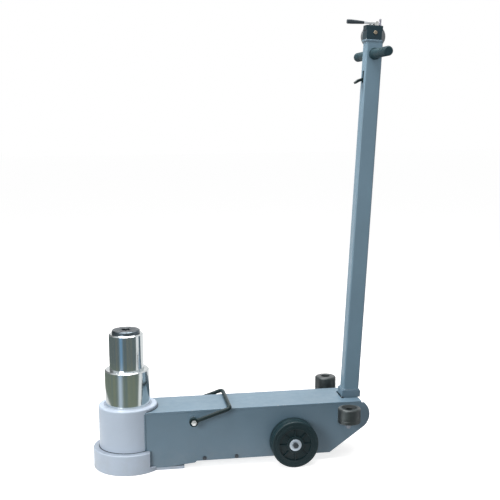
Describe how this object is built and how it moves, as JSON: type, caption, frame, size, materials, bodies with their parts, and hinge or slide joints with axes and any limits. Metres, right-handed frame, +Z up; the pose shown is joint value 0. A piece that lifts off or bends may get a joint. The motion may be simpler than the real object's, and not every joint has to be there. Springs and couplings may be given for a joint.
{
  "type": "two-stage air-hydraulic floor jack",
  "caption": "Low air-hydraulic floor jack with a two-stage telescopic ram at the front, a long steel chassis on a pair of wheels and a tall tilting tee handle with a control valve.",
  "frame": {"origin": "centre of the foot's underside, on the ram's axis, on the floor", "axes": "+Z up along the ram, +X back along the chassis to the handle, +Y the jack's right side"},
  "size_m": [0.8297, 0.342, 1.2143],
  "materials": {
    "chassis_paint": "satin",
    "housing_paint": "satin",
    "ram_chrome": "polished",
    "saddle_steel": "machined",
    "black_steel": "semi-gloss",
    "bright_steel": "zinc plated",
    "dark_bolts": "blackened",
    "wheel_rubber": "matt",
    "wheel_hub": "matt",
    "grip_rubber": "matt",
    "lever_plastic": "satin",
    "valve_body": "satin",
    "valve_metal": "cast",
    "seal_rubber": "matt",
    "pump_steel": "machined",
    "adapter_steel": "blackened"
  },
  "bodies": {
    "chassis": {"ram_cylinder": "housing_paint", "foot_ring": "housing_paint", "gland_ring": "pump_steel", "gland_wiper": "seal_rubber", "top_plate": "chassis_paint", "left_side_plate": "chassis_paint", "right_side_plate": "chassis_paint", "bottom_tray": "chassis_paint", "tray_screws": "dark_bolts", "wheel_axle": "bright_steel", "axle_bolts": "dark_bolts", "axle_washers": "bright_steel", "handle_shaft": "bright_steel", "lock_sector": "bright_steel", "sector_stay": "bright_steel", "left_adapter_hook": "chassis_paint", "right_adapter_hook": "chassis_paint", "oil_tank": "chassis_paint", "tank_plug": "dark_bolts", "pump_shelf": "chassis_paint", "pump_block": "pump_steel", "air_cylinder": "valve_metal", "air_cylinder_cap": "valve_metal", "pressure_pipe": "bright_steel", "pipe_fittings": "bright_steel", "motor_bolts": "dark_bolts", "bail_bolts": "bright_steel"},
    "outer_stage": {"outer_ram": "ram_chrome", "outer_ram_seal": "seal_rubber"},
    "inner_stage": {"inner_ram": "ram_chrome", "inner_ram_seal": "seal_rubber"},
    "saddle": {"saddle": "saddle_steel"},
    "left_wheel": {"left_tyre": "wheel_rubber", "left_hub": "wheel_hub"},
    "right_wheel": {"right_tyre": "wheel_rubber", "right_hub": "wheel_hub"},
    "bail": {"carrying_bail": "black_steel"},
    "handle": {"handle_yoke": "chassis_paint", "handle_tube": "chassis_paint", "tee_bar": "black_steel", "left_grip": "grip_rubber", "right_grip": "grip_rubber", "head_plate": "chassis_paint", "valve_block": "valve_body", "valve_cap": "valve_body", "valve_cover": "valve_metal", "valve_screw": "bright_steel", "air_nipple": "bright_steel", "lever_clevis": "bright_steel", "lever_pin": "bright_steel", "trigger_pin": "bright_steel"},
    "trigger": {"trigger": "black_steel"},
    "lock_rod": {"release_rod": "bright_steel"},
    "lever": {"control_lever": "bright_steel", "lever_grip": "lever_plastic"},
    "plunger": {"valve_plunger": "bright_steel"},
    "left_adapter": {"left_adapter": "adapter_steel"},
    "right_adapter": {"right_adapter": "adapter_steel"},
    "air_piston": {"air_piston": "valve_metal"}
  },
  "joints": [
    {"name": "outer_ram_slide", "type": "slide", "parent": "chassis", "child": "outer_stage", "axis": [0, 0, 1], "range_m": [-0.096, 0.008]},
    {"name": "inner_ram_slide", "type": "slide", "parent": "outer_stage", "child": "inner_stage", "axis": [0, 0, 1], "range_m": [-0.096, 0.007]},
    {"name": "saddle_swivel", "type": "hinge", "parent": "inner_stage", "child": "saddle", "pos_m": [0, 0, 0.377], "axis": [0, 0, 1], "continuous": true},
    {"name": "handle_tilt", "type": "hinge", "parent": "chassis", "child": "handle", "pos_m": [0.626, 0, 0.125], "axis": [0, 1, 0], "range_deg": [0, 80]},
    {"name": "left_wheel_spin", "type": "hinge", "parent": "chassis", "child": "left_wheel", "pos_m": [0.449, -0.0934, 0.065], "axis": [0, 1, 0], "continuous": true},
    {"name": "right_wheel_spin", "type": "hinge", "parent": "chassis", "child": "right_wheel", "pos_m": [0.449, 0.0934, 0.065], "axis": [0, 1, 0], "continuous": true},
    {"name": "bail_swing", "type": "hinge", "parent": "chassis", "child": "bail", "pos_m": [0.1737, 0, 0.138], "axis": [0, 1, 0], "range_deg": [-125, 0]},
    {"name": "trigger_pull", "type": "hinge", "parent": "handle", "child": "trigger", "pos_m": [0.69637, 0, 1.05241], "axis": [0, 1, 0], "range_deg": [0, 18]},
    {"name": "lock_rod_slide", "type": "slide", "parent": "handle", "child": "lock_rod", "axis": [0.0628, 0, 0.998], "range_m": [0, 0.00376], "stiffness_N_per_m": 2000, "springref_m": -0.005},
    {"name": "lever_rock", "type": "hinge", "parent": "handle", "child": "lever", "pos_m": [0.69779, 0, 1.20237], "axis": [0, 1, 0], "range_deg": [-6, 12], "stiffness_Nm_per_rad": 3},
    {"name": "plunger_slide", "type": "slide", "parent": "handle", "child": "plunger", "axis": [0.0628, 0, 0.998], "range_m": [-0.0016, 0.0031]},
    {"name": "left_adapter_lift", "type": "slide", "parent": "chassis", "child": "left_adapter", "axis": [0, 0, 1], "range_m": [0, 0.06]},
    {"name": "right_adapter_lift", "type": "slide", "parent": "chassis", "child": "right_adapter", "axis": [0, 0, 1], "range_m": [0, 0.06]},
    {"name": "air_piston_slide", "type": "slide", "parent": "chassis", "child": "air_piston", "axis": [1, 0, 0], "range_m": [0, 0.04], "stiffness_N_per_m": 500, "springref_m": -0.01}
  ],
  "couplings": [
    {"joint": "trigger_pull", "follows": "lock_rod_slide", "rad_per_m": 83.333},
    {"joint": "plunger_slide", "follows": "lever_rock", "m_per_rad": 0.014}
  ]
}
